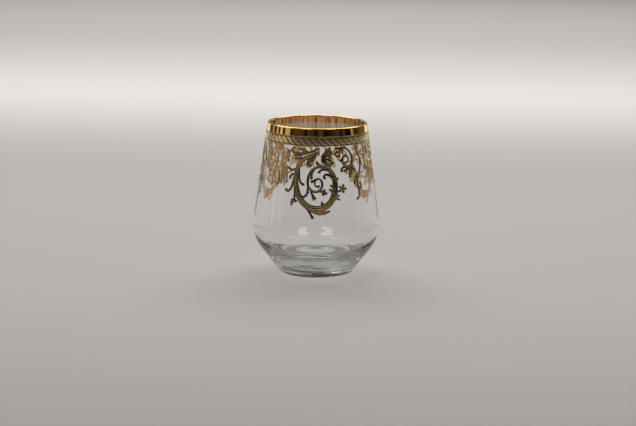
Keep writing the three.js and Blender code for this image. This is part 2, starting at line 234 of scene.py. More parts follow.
def gold_through_glass(name, pale, deep):
    """The bonded back of the gold, seen through the glass: satin and orange, with upright dark streaks that
    are a painted reflection of the frieze. The streaks are a noise over the angle round the glass alone."""
    material, tree, output = new_material(name)
    place = add_node(tree, "ShaderNodeTexCoord")
    split = add_node(tree, "ShaderNodeSeparateXYZ", Vector=place.outputs["Object"])
    angle = add_node(tree, "ShaderNodeMath", operation="ARCTAN2")
    tree.links.new(split.outputs["X"], angle.inputs[0])
    tree.links.new(split.outputs["Y"], angle.inputs[1])
    # Painted reflection: dark upright streaks standing in for the frieze mirrored in the gold.
    painted_reflection_streaks = add_node(
        tree, "ShaderNodeTexNoise", noise_dimensions="1D", W=angle.outputs[0], Scale=14, Detail=2
    )
    tint = add_node(tree, "ShaderNodeValToRGB", Fac=painted_reflection_streaks.outputs[0])
    tint.color_ramp.elements[0].position = 0.36
    tint.color_ramp.elements[0].color = (*deep, 1)
    tint.color_ramp.elements[1].position = 0.56
    tint.color_ramp.elements[1].color = (*pale, 1)
    gold = add_node(tree, "ShaderNodeBsdfPrincipled", Metallic=1, Roughness=0.2)
    tree.links.new(tint.outputs[0], gold.inputs["Base Color"])
    tree.links.new(gold.outputs[0], output.inputs["Surface"])
    return material


def offset_line(line, distance):
    """The line moved sideways by a distance, to the right of its way: normal = (dz, -dr) of its tangent."""
    along = np.gradient(line, axis=0)
    along = along / np.linalg.norm(along, axis=1)[:, None]
    return line + np.stack([along[:, 1], -along[:, 0]], axis=1) * distance


def with_sharp_ends(line):
    """The line with one more point close inside each end, so that smooth shading turns only at the very
    edge: end + edge_turn along the way to the next point."""
    ends = line[[0, -1]]
    inwards = line[[1, -2]] - ends
    close = ends + inwards * edge_turn / np.linalg.norm(inwards, axis=1)[:, None]
    return np.vstack([ends[:1], close[:1], line[1:-1], close[1:], ends[1:]])


def film_ring(name, line, face_lift, materials):
    """A ring of film on the glass: its face lies face_lift off the line, and its back is bonded in the glass.
    Faces of the back take the second material."""
    line = with_sharp_ends(line)
    face = offset_line(line, face_lift)
    back = offset_line(line, -gold_bond)[::-1]
    section = np.concatenate([face, back])
    points, faces = turned(section, turn_steps, True)
    ring = add_piece(name, points, faces, materials)
    along_section = np.tile(np.arange(len(section)), turn_steps)
    is_back = (along_section >= len(line)) & (along_section < 2 * len(line) - 1)
    ring.data.polygons.foreach_set("material_index", is_back.astype(np.int32))
    return ring


def wall_radius(height):
    """Outside radius of the upper wall at a height: the straight cone from the shoulder to the rim."""
    share = (height - shoulder_height) / (glass_height - shoulder_height)
    return shoulder_radius + (rim_radius - shoulder_radius) * share


bright_face = bright_gold()
bright_back = gold_through_glass("bright_gold_through_glass", (1.0, 0.62, 0.26), (0.14, 0.06, 0.02))
lip_start = glass_height - lip_drop
lip_line = rounded_line([
    (wall_radius(lip_start), lip_start, 0),
    (rim_radius, glass_height, lip_round),
    (*lip_inside_edge, lip_round),
    (*(lip_inside_edge + inner_way * lip_inside), 0),
], lip_arc_steps)
lip = film_ring("gilded_lip", lip_line, gold_film, [bright_face, bright_back])
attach(lip, "root")
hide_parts("lip_gilding")

# The bright band: a plain belt of burnished gold under the lip, laid with a banding wheel while the glass
# turns, which leaves it flat and mirror-bright.
bright_film = 0.9 * gold_film
bright_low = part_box("chased_band")[1][2]
bright_heights = np.linspace(bright_low, lip_start, 8)
bright_line = np.stack([wall_radius(bright_heights), bright_heights], axis=1)
band = film_ring("burnished_band", bright_line, bright_film, [bright_face, bright_back])
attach(band, "root")
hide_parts("bright_band")

# The chased band: a satin gold belt pressed with slanting leaves between two fine beads, fired over a relief
# that was etched into the glass, so it looks darker and softer than the bright band, the darker partly from
# painted shade in its hollows.
chased_low, chased_high = (corner[2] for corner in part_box("chased_band"))
leaf_count = 50
leaf_slant = 1.35
leaf_rise = 0.85
vein_depth = 0.35
vein_width = 0.07
bead_share = 0.1
bead_rise = 0.6
chased_film = 0.1 * MM
chased_relief = 0.4 * MM
chased_steps = leaf_count * 14


def chased_gold():
    """Satin gold, rougher in the hollows; its colour is painted shade in the hollows and painted highlight on
    the crests.
    """
    material, tree, output = new_material("chased_gold")
    relief = add_node(tree, "ShaderNodeAttribute", attribute_name="relief")
    # Painted shade and highlight: the ramp is near black in the hollows of the relief and bright gold on its
    # crests.
    tint = add_node(tree, "ShaderNodeValToRGB", Fac=relief.outputs["Fac"])
    tint.color_ramp.elements[0].position = 0.26
    tint.color_ramp.elements[0].color = (0.05, 0.03, 0.015, 1)
    tint.color_ramp.elements[1].position = 0.7
    tint.color_ramp.elements[1].color = (1.0, 0.74, 0.38, 1)
    rub = add_node(tree, "ShaderNodeMapRange", Value=relief.outputs["Fac"], To_Min=0.32, To_Max=0.22)
    place = add_node(tree, "ShaderNodeTexCoord")
    grain = add_node(tree, "ShaderNodeTexNoise", Vector=place.outputs["Object"], Scale=2200, Detail=2)
    skin = add_node(tree, "ShaderNodeBump", Strength=0.25, Distance=0.1 * MM, Height=grain.outputs[0])
    gold = add_node(tree, "ShaderNodeBsdfPrincipled", Metallic=1, Normal=skin.outputs[0])
    tree.links.new(tint.outputs[0], gold.inputs["Base Color"])
    tree.links.new(rub.outputs[0], gold.inputs["Roughness"])
    tree.links.new(gold.outputs[0], output.inputs["Surface"])
    return material


def chased_share(angle, share):
    """Height of the relief, 0 to 1, at an angle and a share of the band's width. Slanting leaves: with
    f = fraction(leaves * angle / 2 pi + slant * share), a half circle over f less a thin vein at f = 1/2,
    held down towards the beads. Beads: round ridges along both edges."""
    fraction = (leaf_count * angle / (2 * np.pi) + leaf_slant * share) % 1
    swell = np.sqrt(np.clip(1 - (2 * fraction - 1) ** 2, 0, 1))
    vein = vein_depth * np.exp(-(((fraction - 0.5) / vein_width) ** 2))
    field = np.clip((share - bead_share) / (1 - 2 * bead_share), 0, 1)
    leaves = (swell - vein) * np.clip(1 - np.abs(2 * field - 1) ** 6, 0, 1) * leaf_rise
    from_edge = np.minimum(share, 1 - share) / bead_share
    beads = bead_rise * np.sqrt(np.clip(1 - (2 * from_edge - 1) ** 2, 0, 1))
    return np.where(from_edge < 1, beads, leaves)


edge_share = edge_turn / (chased_high - chased_low)
share = np.concatenate([[0], np.linspace(edge_share, 1 - edge_share, 34), [1]])
chased_rows = len(share)
angle = np.linspace(0, 2 * np.pi, chased_steps, endpoint=False)
heights = chased_low + (chased_high - chased_low) * share
relief = chased_share(angle[:, None], share[None, :])
face_radius = wall_radius(heights)[None, :] + chased_film + chased_relief * relief
back_heights = heights[[-1, -2, 1, 0]]
back_rows = len(back_heights)
back_radius = np.broadcast_to(wall_radius(back_heights) - gold_bond, (chased_steps, back_rows))
section_radius = np.concatenate([face_radius, back_radius], axis=1)
section_height = np.broadcast_to(np.concatenate([heights, back_heights]), section_radius.shape)
chased_x = section_radius * np.sin(angle)[:, None]
chased_y = -section_radius * np.cos(angle)[:, None]
chased_points = np.stack([chased_x, chased_y, section_height], axis=-1).reshape(-1, 3)
chased_faces = grid_faces(chased_steps, chased_rows + back_rows, True, True)
chased_back = gold_through_glass("chased_gold_through_glass", (0.88, 0.74, 0.60), (0.66, 0.52, 0.40))
chased = add_piece("chased_belt", chased_points, chased_faces, [chased_gold(), chased_back])
along_section = np.arange(chased_rows + back_rows)
on_back = (along_section >= chased_rows) & (along_section < chased_rows + back_rows - 1)
on_back = np.tile(on_back, chased_steps)
chased.data.polygons.foreach_set("material_index", on_back.astype(np.int32))
relief_all = np.concatenate([relief, np.zeros((chased_steps, back_rows))], axis=1)
chased.data.attributes.new("relief", "FLOAT", "POINT").data.foreach_set("value", relief_all.ravel())
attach(chased, "root")
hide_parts("chased_band")

# The great scrolls: acanthus spirals in raised gold, the largest motif of a frieze that repeats three times
# round. Thick gold paste is drawn on the glass in strokes that stand up round in the middle, with strands
# scored along the stems, and fired. Lengths across and down are in squares of the frieze.
repeats = 3
square_height = 1.0 * MM
square_angle = math.radians(1.447)
frieze_top = chased_low - 0.3 * MM
raised_crown = 0.28 * MM
least_crown = 0.3
most_crown = 1.2
full_half_width = 0.9
rim_rise = 0.16
score_depth = 0.36
groove_painted_shade = 0.8
painted_shade_width = 0.2
painted_shade_fade = 0.5
lobe_least = 0.78
lobe_swell = 0.36
vine_width = 1.5
knob_radius = 1.1
overlap_lift = 0.002 * MM


def raised_gold():
    """Raised gold whose colour carries painted shade: dark brown along its edges and grooves, gold on the
    crests.
    """
    material, tree, output = new_material("raised_gold")
    painted_lightness = add_node(tree, "ShaderNodeAttribute", attribute_name="painted_lightness")
    place = add_node(tree, "ShaderNodeTexCoord")
    drift = add_node(tree, "ShaderNodeTexNoise", Vector=place.outputs["Object"], Scale=240, Detail=3)
    drift_and_painted_shade = add_node(tree, "ShaderNodeMath", operation="MULTIPLY_ADD")
    tree.links.new(drift.outputs[0], drift_and_painted_shade.inputs[0])
    drift_and_painted_shade.inputs[1].default_value = 0.2
    tree.links.new(painted_lightness.outputs["Fac"], drift_and_painted_shade.inputs[2])
    # The ramp paints shade: near black at the edges and in the grooves, gold on the crests.
    tint = add_node(tree, "ShaderNodeValToRGB", Fac=drift_and_painted_shade.outputs[0])
    tint.color_ramp.elements[0].position = 0.1
    tint.color_ramp.elements[0].color = (0.02, 0.012, 0.007, 1)
    tint.color_ramp.elements[1].position = 1.0
    tint.color_ramp.elements[1].color = (1.0, 0.69, 0.32, 1)
    rub = add_node(tree, "ShaderNodeMapRange", Value=drift_and_painted_shade.outputs[0], To_Min=0.14, To_Max=0.05)
    gold = add_node(tree, "ShaderNodeBsdfPrincipled", Metallic=1)
    tree.links.new(tint.outputs[0], gold.inputs["Base Color"])
    tree.links.new(rub.outputs[0], gold.inputs["Roughness"])
    tree.links.new(gold.outputs[0], output.inputs["Surface"])
    return material


def smooth_line(points, steps):
    """Catmull-Rom line through (across, down) points, with its ends repeated: a cubic in the part of each
    span that is run. Gives its places, its unit direction and the share of the line that is run."""
    line = np.array(points, dtype=float) * (1, -1)
    padded = np.vstack([line[:1], line, line[-1:]])
    run = np.linspace(0, len(line) - 1, steps * (len(line) - 1) + 1)
    span = np.minimum(run.astype(int), len(line) - 2)
    part = (run - span)[:, None]
    before, start, stop, after = (padded[span + ahead] for ahead in range(4))
    cubed = 3 * (start - stop) + after - before
    squared = 2 * before - 5 * start + 4 * stop - after
    place = start + 0.5 * part * (stop - before + part * (squared + part * cubed))
    way = np.gradient(place, axis=0)
    return place, way / np.linalg.norm(way, axis=1)[:, None], run / (len(line) - 1)


def lid(ring):
    """Quads that close an even ring of points, from one side straight across to the other."""
    half = len(ring) // 2
    near = ring[:half]
    far = ring[::-1][:half]
    return np.stack([near[:-1], near[1:], far[1:], far[:-1]], axis=1)


def stroke(points, widths, scores=0, lobes=0, steps=6, across=9):
    """A raised stroke on flat squares. Its half width runs from the first through the middle to the last of
    three widths, cut into lobes like a leaf's edge if asked, and its ends are half circles. Its section over
    o from -1 to 1 is crown * sqrt(1 - o^4) on a flat back, with fine grooves scored along it, evenly spread.
    Its colour carries painted shade, dark along its edges and in the grooves and gold inside and between
    them."""
    place, way, share = smooth_line(points, steps)
    start, middle, stop = widths
    half = 0.5 * (start + (stop - start) * share + 4 * share * (1 - share) * (middle - (start + stop) / 2))
    if lobes:
        half = half * (lobe_least + lobe_swell * (lobes * share % 1) ** 0.7)
    bend = np.radians([82, 62, 40, 20])
    head = place[:1] - way[:1] * half[0] * np.sin(bend)[:, None]
    tail = place[-1:] + way[-1:] * half[-1] * np.sin(bend[::-1])[:, None]
    place = np.vstack([head, place, tail])
    way = np.vstack([np.repeat(way[:1], len(bend), 0), way, np.repeat(way[-1:], len(bend), 0)])
    half = np.concatenate([half[0] * np.cos(bend), half, half[-1] * np.cos(bend[::-1])])
    o = np.linspace(-1, 1, across)
    dome = rim_rise + (1 - rim_rise) * np.sqrt(1 - o**4)
    groove = (0.5 + 0.5 * np.cos(np.pi * (scores + 1) * (o + 1))) ** 2 if scores else np.zeros(across)
    dome = dome * (1 - score_depth * groove)
    crown = np.clip(half / full_half_width, least_crown, most_crown)[:, None] * raised_crown
    right = np.stack([way[:, 1], -way[:, 0]], axis=1)
    back = [1, 0, -1]
    side = np.concatenate([o, back])
    lift = np.concatenate([crown * dome, np.full((len(half), len(back)), -gold_bond)], axis=1)
    flat = place[:, None] + right[:, None] * half[:, None, None] * side[None, :, None]
    laid = np.concatenate([flat, lift[..., None]], axis=-1).reshape(-1, 3)
    # Painted shade: the tone falls to dark over a band along each edge and in the grooves.
    inwards = np.clip((half[:, None] * (1 - np.abs(o)) - painted_shade_width) / painted_shade_fade, 0, 1)
    painted_lightness = inwards**2 * (3 - 2 * inwards) * (1 - groove_painted_shade * groove)
    painted_lightness = np.concatenate([painted_lightness, np.zeros((len(half), len(back)))], axis=1)
    columns = across + len(back)
    ring = np.arange(columns)
    sides = grid_faces(len(half), columns, False, True)[:, ::-1]
    faces = np.vstack([sides, lid(ring[::-1]), lid(ring + (len(half) - 1) * columns)])
    return laid, faces, painted_lightness.ravel()


def knob(at, radius=knob_radius, stretch=1.0, turn=0.0):
    """A raised dot: half an egg, crown * cos(p) high at radius * sin(p), longer one way where stretched."""
    across, down = at
    sides = 16
    lean = np.radians([6, 25, 45, 63, 78, 90])
    angles = np.linspace(0, 2 * np.pi, sides, endpoint=False)
    ring = np.concatenate([np.sin(lean), [1]])
    rise = np.concatenate([rim_rise + (1 - rim_rise) * np.cos(lean), [0]])
    lift = np.concatenate([rise[:-1] * raised_crown * min(most_crown, radius / knob_radius), [-gold_bond]])
    x = stretch * radius * ring[None] * np.cos(angles)[:, None]
    y = radius * ring[None] * np.sin(angles)[:, None]
    c, s = math.cos(turn), math.sin(turn)
    flat = [across + c * x - s * y, -down + s * x + c * y, np.broadcast_to(lift, x.shape)]
    laid = np.stack(flat, axis=-1).reshape(-1, 3)
    columns = len(ring)
    edge = np.arange(sides) * columns
    shell = grid_faces(sides, columns, True, False)[:, ::-1]
    faces = np.vstack([shell, lid(edge), lid(edge[::-1] + columns - 1)])
    # The tone, 0.5 * rise, is painted shade: darker towards the dot's edge.
    return laid, faces, np.broadcast_to(0.5 * rise, (sides, columns)).ravel()


def vine(points, root=vine_width):
    """A thin stroke, from its root's width to a little over a vine's, that ends in a knob."""
    return [stroke(points, (root, vine_width, 1.05 * vine_width)), knob(points[-1])]


def leaf(points, breadth, lobes=3):
    """A lobed stroke with a scored middle vein: it swells from 0.6 of its breadth to 1.3 and comes to a point
    of 0.3."""
    return [stroke(points, (0.6 * breadth, 1.3 * breadth, 0.3 * breadth), 1, lobes, steps=9, across=11)]


def floret(at, petals, petal_radius):
    """A flower: egg-shaped petals at equal turns, their middles 1.55 petal radii from a bead."""
    turns = 2 * np.pi * np.arange(petals) / petals
    reach = 1.55 * petal_radius
    petal_places = [(at[0] + reach * math.cos(a), at[1] + reach * math.sin(a)) for a in turns]
    ring = [knob(place, 0.72 * petal_radius, 1.35, -a) for place, a in zip(petal_places, turns)]
    return [*ring, knob(at, 0.95 * petal_radius)]


def bent_round(flat, turn):
    """Flat (across, up, lift) points laid on the glass: the angle is turn + across * square angle, the height
    is the frieze's top + up * square height, and the radius is the wall's there plus the lift."""
    height = frieze_top + flat[:, 1] * square_height
    angle = turn + flat[:, 0] * square_angle
    radius = wall_radius(height) + flat[:, 2]
    return np.stack([radius * np.sin(angle), -radius * np.cos(angle), height], axis=1)


def lay_motif(name, parts, shade_lift=0):
    """One piece in each repeat: the motif's strokes side by side in one mesh, each a hair prouder than the
    last. The last argument lightens the painted shade along the edges: 0 leaves it as it is, 1 would take it
    off."""
    points = []
    faces = []
    count = 0
    for order, (flat, part_faces, _) in enumerate(parts):
        prouder = np.where(flat[:, 2:] > 0, overlap_lift * order, 0) * (0, 0, 1)
        points.append(flat + prouder)
        faces.append(part_faces + count)
        count += len(flat)
    points = np.concatenate(points)
    faces = np.concatenate(faces)
    painted_lightness = shade_lift + (1 - shade_lift) * np.concatenate([part[2] for part in parts])
    on_back = (points[:, 2] < 0)[faces].all(axis=1)
    for repeat in range(repeats):
        laid = bent_round(points, 2 * np.pi * repeat / repeats)
        piece = add_piece(f"gilt_{name}_{repeat + 1}", laid, faces, [raised_face, raised_back])
        piece.data.polygons.foreach_set("material_index", on_back.astype(np.int32))
        piece.data.polygons.foreach_set("use_smooth", ~on_back)
        piece.data.attributes.new("painted_lightness", "FLOAT", "POINT").data.foreach_set("value", painted_lightness)
        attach(piece, "root")
        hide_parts(f"{name}_{repeat + 1}")


raised_face = raised_gold()
raised_back = gold_through_glass("raised_gold_through_glass", (0.80, 0.50, 0.20), (0.62, 0.36, 0.13))
great_scroll = [
    stroke([(1.2, 3.4), (-5, 6.1), (-10.9, 9.6), (-14, 15.2), (-14.6, 21.6), (-13.6, 28), (-11, 34.2),
            (-6, 39.2), (-0.4, 40.9), (5.4, 39.7), (9.9, 35.9), (12.3, 30), (12.8, 24), (11.5, 18.8),
            (8.4, 15), (4.6, 13.5)], (1.6, 4.2, 2.6), scores=2, across=25),
    stroke([(8.4, 15), (4.6, 13.5), (0.2, 13.4), (-3.4, 15.4), (-5.5, 19), (-6.1, 23.4), (-5.2, 27),
            (-2.2, 29.3), (1.4, 29.1), (3.7, 26.2), (3.4, 22.7), (1.2, 20.9), (-1, 22.2), (-1.1, 25),
            (0.6, 26.5)], (1.8, 1.7, 1), scores=1, across=13),
    knob((1.2, 26.1)),
    *vine([(0.2, 21.2), (-1.6, 22.2), (-3.2, 22.9)]),
    *vine([(-1.4, 14.4), (-3.3, 17), (-3.6, 20.6)]),
    *vine([(-5.6, 26.6), (-6, 28.6), (-6, 30.3)]),
    *leaf([(-0.4, 4.2), (-2, 6.8), (-3.8, 9), (-5.9, 10.4), (-6, 12), (-4.6, 12.6)], 2.4, 4),
    knob((-4.5, 12.4)),
    *leaf([(-2.6, 6), (-5, 7.6), (-6.9, 8.3)], 1.3, 2),
    *leaf([(-8.6, 7.6), (-12.6, 7.9), (-16.8, 8.3)], 1.4),
    *leaf([(1, 3.6), (1.1, 4.8), (0.9, 6)], 1.3, 2),
    *vine([(-15.6, 19), (-16.9, 25), (-18.2, 28.6), (-19.8, 29.9), (-21.5, 29.2)]),
    *vine([(-15.6, 15.2), (-18.4, 15.7), (-20.6, 14.4)]),
    *vine([(-15.4, 18.4), (-18, 19), (-19, 21)]),
    *vine([(-15.6, 24.4), (-14.9, 29.6), (-14.9, 35.4)]),
    stroke([(-14.9, 34.8), (-16.7, 38.8)], (1.2, 1.2, 1.4)),
    knob((-16.4, 35.8)),
    knob((-13.9, 36.2)),
    knob((-16.6, 37.4)),
    *vine([(-12.6, 13.4), (-12.4, 18.8), (-11.4, 23.2), (-9.3, 25)]),
    *vine([(-13, 28.2), (-11, 31.9), (-8.8, 33.2), (-6.9, 32)]),
    stroke([(-4.4, 28.2), (-2.9, 31.2), (-1.7, 33.9)], (0.9, 1.6, 2.4)),
    knob((-1.6, 34), 1.3 * knob_radius),
    stroke([(1.6, 29.1), (3.8, 29.6), (5.2, 30.6)], (1.35, 1.35, 1.2)),
    knob((4.5, 31.3)),
    knob((6.3, 30.6)),
    knob((5.1, 28.9)),
    *leaf([(-4.8, 41), (0.4, 43.4), (4.8, 43.5), (9, 42.2)], 2.1, 4),
    *vine([(-8.2, 38.4), (-4.8, 42.4), (-2.4, 46.6)]),
    *leaf([(5.6, 39.6), (4.2, 38.4), (3.4, 36)], 1.7, 2),
    *leaf([(9.6, 36.6), (12.8, 34), (15.9, 35.2)], 1.8),
    *leaf([(11, 34.2), (13.2, 32.2), (15.8, 32.5)], 1.7),
    stroke([(12.2, 30.6), (17, 28.5)], (1.5, 1.1, 1)),
    *floret((18, 28), 5, 1.3),
    *leaf([(12.6, 22.8), (13.8, 21.9), (15.3, 20.5)], 1.6, 2),
    *leaf([(12.5, 29.4), (11.2, 26.4), (9, 25.3)], 1.6, 2),
    *leaf([(12, 32), (10.2, 29), (8.3, 27.9)], 1.6, 2),
    *vine([(11.8, 20.4), (9.2, 18.9), (6.4, 18.2), (5, 19.2), (5.4, 20.4)], 2),
    *vine([(8.2, 15), (5, 14.9), (2.8, 15.3), (1.7, 16.6)], 1.6),
    *leaf([(7, 13.8), (2.6, 12.4), (0.4, 11), (-0.5, 9.2)], 1.8),
]
lay_motif("great_scroll", great_scroll)

# The crown leaves: a long open leaf in raised gold under the chased band, to the left of each scroll's root.
# It is one scored stroke that curls up at its tip, with two leaflets along it, fired on like the scroll.
crown_leaf = [
    stroke([(1.8, 1.2), (-5, 3.5), (-10.5, 4.5), (-15.8, 4.5), (-18.7, 3.6), (-18.9, 1.9), (-17.8, 1.1)],
           (1, 1.5, 0.9), scores=1, across=13),
    *leaf([(-9.6, 4.6), (-13.4, 5.9), (-17, 6.3)], 1.3),
    *leaf([(-6.4, 3.8), (-10, 2.1), (-13.8, 1.5)], 1.7),
    knob((-17.6, 1.4)),
]
lay_motif("crown_leaf", crown_leaf)

# The hanging leaves: a drooping acanthus leaf in raised gold to the right of each root. Its edge is lobed,
# its tip curls up to a bead, and two leaflets and a vine lie in its hollow, drawn and fired in one.
hanging_leaf = [
    stroke([(9.4, 1), (7.2, 3.4), (5.2, 6.2), (4.8, 8.6), (6.4, 11), (8.8, 11.9), (10.8, 11.2)],
           (2.2, 4.0, 1.5), scores=1, lobes=5, steps=8, across=15),
    knob((10.8, 11), 1.2 * knob_radius),
    *leaf([(8.4, 2.2), (9.8, 3.8), (10.7, 5.6)], 2.3, 2),
    *leaf([(6.2, 5), (8.6, 6), (10.7, 7.8)], 2.6),
    *vine([(5.4, 8.4), (7.8, 8.3), (9.4, 9.3)]),
]
lay_motif("hanging_leaf", hanging_leaf)

# The volutes: a small spiral in raised gold that winds against the scroll. An arch, a loop and a hook tie it
# to the band, and two leaves hang from its foot, all drawn in one and fired on.
volute = [
    stroke([(17.4, 1.1), (21.6, 1.2), (25, 3.4), (27, 7), (27, 11), (24.6, 13.4), (21.2, 13), (19.1, 10.4),
            (19.4, 7.6), (21.6, 6.4), (23.8, 7.6), (23.7, 10), (21.8, 10.9)],
           (1.3, 2, 1.1), scores=2, across=13),
    knob((21.6, 10.9)),
    *vine([(19.1, 9.4), (17.4, 9.3)]),
    stroke([(13.4, 1.1), (17.2, 1.2), (19.1, 2.6), (19.5, 4.8)], (1, 1.4, 0.9)),
    stroke([(17.2, 1.6), (16.9, 6.9)], (1, 1.2, 1)),
    stroke([(17.2, 3.7), (14.6, 3.5), (12.4, 4.9)], (0.9, 1, 0.9)),
    stroke([(12.4, 4.8), (14.4, 6.1), (16.9, 6.6)], (0.9, 1, 0.9)),
    *vine([(22.8, 13.5), (19.6, 13.8), (18.2, 14.8), (18.1, 16.2)]),
    *vine([(24.8, 14), (22.4, 15.2), (20.6, 16.4)]),
    *leaf([(25.2, 13), (25.7, 17), (24.2, 21.6)], 2.8, 4),
    *leaf([(26.2, 12.6), (28.4, 14.8), (29.5, 17), (31.2, 17.9)], 1.8),
]
lay_motif("volute", volute)

# The tendrils: a long thin vine of raised gold beside each volute. It leaves the band, swings out and back
# and ends in a hook, with leaves and one curl along its way, fired on like the rest.
tendril = [
    stroke([(31.2, 1.1), (33.4, 4.8), (35, 9.4), (35, 13.4), (33.6, 17.6), (31.9, 21.4), (31.1, 25.4),
            (31.9, 30.2), (31.6, 33.8), (30, 35.6)], (1.1, 1.8, 1.1), scores=1, across=13),
    knob((29.9, 35.4)),
    *vine([(31.2, 28), (33.4, 28.4), (34.5, 26.8), (33.4, 25.2)]),
    *leaf([(31.9, 21), (29.2, 22.9), (28.4, 25.2), (29, 27.2)], 1.9, 4),
    *leaf([(33, 18.8), (30.4, 19.9), (28.5, 21.4)], 1.5, 2),
    *leaf([(34.8, 9.4), (36, 10.8), (37.3, 12.6)], 1.7, 2),
]
lay_motif("tendril", tendril)

# The palmettes: a hanging group of leaves in raised gold in the gap between two repeats, drawn from a middle
# stem with two lobed arms, beads and curls. Their painted shade along the edges is lighter than on the rest.
palmette = [
    stroke([(-31, 1.1), (-31.4, 10), (-32, 18), (-32, 24.8)], (2.2, 2.1, 1), scores=2, steps=8, across=13),
    knob((-32, 25)),
    *leaf([(-31.2, 11.7), (-24.4, 10.7), (-22, 5.8), (-24, 1.6)], 2.1, 9),
    *leaf([(-31.2, 11.7), (-39, 10.7), (-42.2, 5.8), (-39.4, 1.6)], 2.1, 9),
    *leaf([(-23.2, 8.6), (-21.7, 9.2), (-20.8, 10.8)], 1.5, 2),
    *leaf([(-22.2, 5.4), (-20.9, 5.9), (-20.3, 7.4)], 1.4, 2),
    *leaf([(-22.8, 3.2), (-21.5, 3), (-20.5, 3.8)], 1.2, 2),
    *leaf([(-42, 4.8), (-43.3, 4.2), (-44.2, 4.8)], 1.2, 2),
    *leaf([(-31, 1.6), (-29.6, 2), (-28.9, 3.4)], 1.5, 2),
    *leaf([(-31, 1.6), (-32.6, 2), (-33.4, 3.4)], 1.5, 2),
    *leaf([(-28.4, 11.6), (-26.4, 17), (-26.5, 25)], 2.2, 5),
    knob((-26.5, 25)),
    *leaf([(-26.2, 11.2), (-24, 16.6), (-24, 22.4)], 1.9, 4),
    knob((-24, 22.6)),
    *leaf([(-25, 14.6), (-22.4, 18.6), (-21.6, 23.6)], 1.7, 3),
    knob((-21.6, 23.8)),
    *leaf([(-35.6, 11.4), (-38.4, 18), (-38.6, 25.4)], 2.2, 5),
    knob((-38.6, 25.4)),
    *leaf([(-43.4, 7.4), (-42.2, 11), (-38.2, 16.8)], 1.8, 4),
    knob((-43.3, 7.8)),
    *leaf([(-31.4, 4), (-27.6, 6.2), (-26.4, 8.6)], 2.1),
    *leaf([(-31.4, 4), (-35.4, 6.2), (-36.8, 8.6)], 2.1),
    *leaf([(-31.8, 15.4), (-29.4, 17.6), (-29.4, 22)], 1.9),
    *leaf([(-31.8, 15.4), (-34.8, 18), (-35.4, 22.8)], 1.9),
    *vine([(-27.6, 2.6), (-25.4, 4.2), (-25.4, 6.8), (-27.2, 7.6), (-28.2, 6.2)]),
    *vine([(-35, 2.6), (-37.8, 4.2), (-38.4, 6.8), (-36.8, 7.8), (-35.6, 6.4)]),
    *vine([(-24, 12.6), (-22.2, 14), (-22.4, 16.2), (-24, 16.4)]),
    *vine([(-40.6, 11.4), (-42.6, 13.6), (-42.2, 16.2), (-40.4, 16.4)]),
    *vine([(-28.6, 19.6), (-28, 23.4), (-28.8, 26), (-30.2, 25.8)]),
    *vine([(-34.2, 19.6), (-34.4, 23.6), (-33.8, 26.2), (-35.2, 27)]),
]
lay_motif("palmette", palmette, shade_lift=0.3)

# The floor: a broad sheet of satin pale acrylic, wiped to a faint shine where the glass stands. Its colour is
# painted light: it runs from a soft grey in front to a pale band a metre behind the glass, as a sweep
# under studio light looks.
floor_half = 7.0
floor_corners = np.array([(-1, -1, 0), (1, -1, 0), (1, 1, 0), (-1, 1, 0)]) * floor_half


def studio_floor():
    """Pale grey acrylic whose colour is painted light: it follows the distance in front of or behind the
    glass, in metres. The shine is full in the inner half of an ellipse round the foot and fades out to its
    edge."""
    material, tree, output = new_material("studio_floor")
    near, far = -1, 3
    # Painted light: the tone at each distance, in metres, stands in for how the studio light falls on the
    # floor.
    painted_light_tones = [
        (-1.0, 0.414), (-0.34, 0.485), (-0.1, 0.514), (0.27, 0.469), (0.47, 0.454), (0.66, 0.531),
        (0.9, 0.67), (1.1, 0.647), (1.6, 0.555), (2.28, 0.657), (3.0, 0.608),
    ]
    place = add_node(tree, "ShaderNodeTexCoord")
    split = add_node(tree, "ShaderNodeSeparateXYZ", Vector=place.outputs["Object"])
    run = add_node(tree, "ShaderNodeMapRange", Value=split.outputs["Y"], From_Min=near, From_Max=far)
    painted_tone = add_node(tree, "ShaderNodeValToRGB", Fac=run.outputs[0])
    ramp = painted_tone.color_ramp
    ramp.interpolation = "CARDINAL"
    for metres, _ in painted_light_tones[1:-1]:
        ramp.elements.new((metres - near) / (far - near))
    for element, (metres, value) in zip(ramp.elements, painted_light_tones):
        element.position = (metres - near) / (far - near)
        element.color = (value, value * 0.955, value * 0.92, 1)
    wiped = add_node(
        tree, "ShaderNodeMapping", vector_type="TEXTURE", Vector=place.outputs["Object"],
        Location=(0, -0.06, 0), Scale=(0.08, 0.12, 1),
    )
    patch = add_node(tree, "ShaderNodeTexGradient", gradient_type="SPHERICAL", Vector=wiped.outputs[0])
    shine = add_node(tree, "ShaderNodeMapRange", Value=patch.outputs["Fac"], From_Max=0.5, To_Max=0.5)
    sheet = add_node(tree, "ShaderNodeBsdfPrincipled", Roughness=0.25, IOR=1.06)
    tree.links.new(shine.outputs[0], sheet.inputs["Specular IOR Level"])
    tree.links.new(painted_tone.outputs[0], sheet.inputs["Base Color"])
    tree.links.new(sheet.outputs[0], output.inputs["Surface"])
    return material


floor = add_piece("studio_floor", floor_corners, [(0, 1, 2, 3)], [studio_floor()])

# The curtain: black velvet hung round the set from behind the camera to both sides, with ends of thin gauze,
# open at the back where the pale floor runs on. It gives the gold its dark stretches and the glass its dark
# edges.
curtain_radius = 1.7
curtain_height = 1.3
curtain_clearance = 1 * MM
curtain_steps = 60
gauze_width = math.radians(30)
curtain_angles = np.radians(np.linspace(-150, 135, curtain_steps))
curtain_line = np.stack([np.sin(curtain_angles), -np.cos(curtain_angles)], axis=1) * curtain_radius
curtain_low = np.column_stack([curtain_line, np.full(curtain_steps, curtain_clearance)])
curtain_high = np.column_stack([curtain_line, np.full(curtain_steps, curtain_height)])
curtain_points = np.stack([curtain_low, curtain_high], axis=1).reshape(-1, 3)


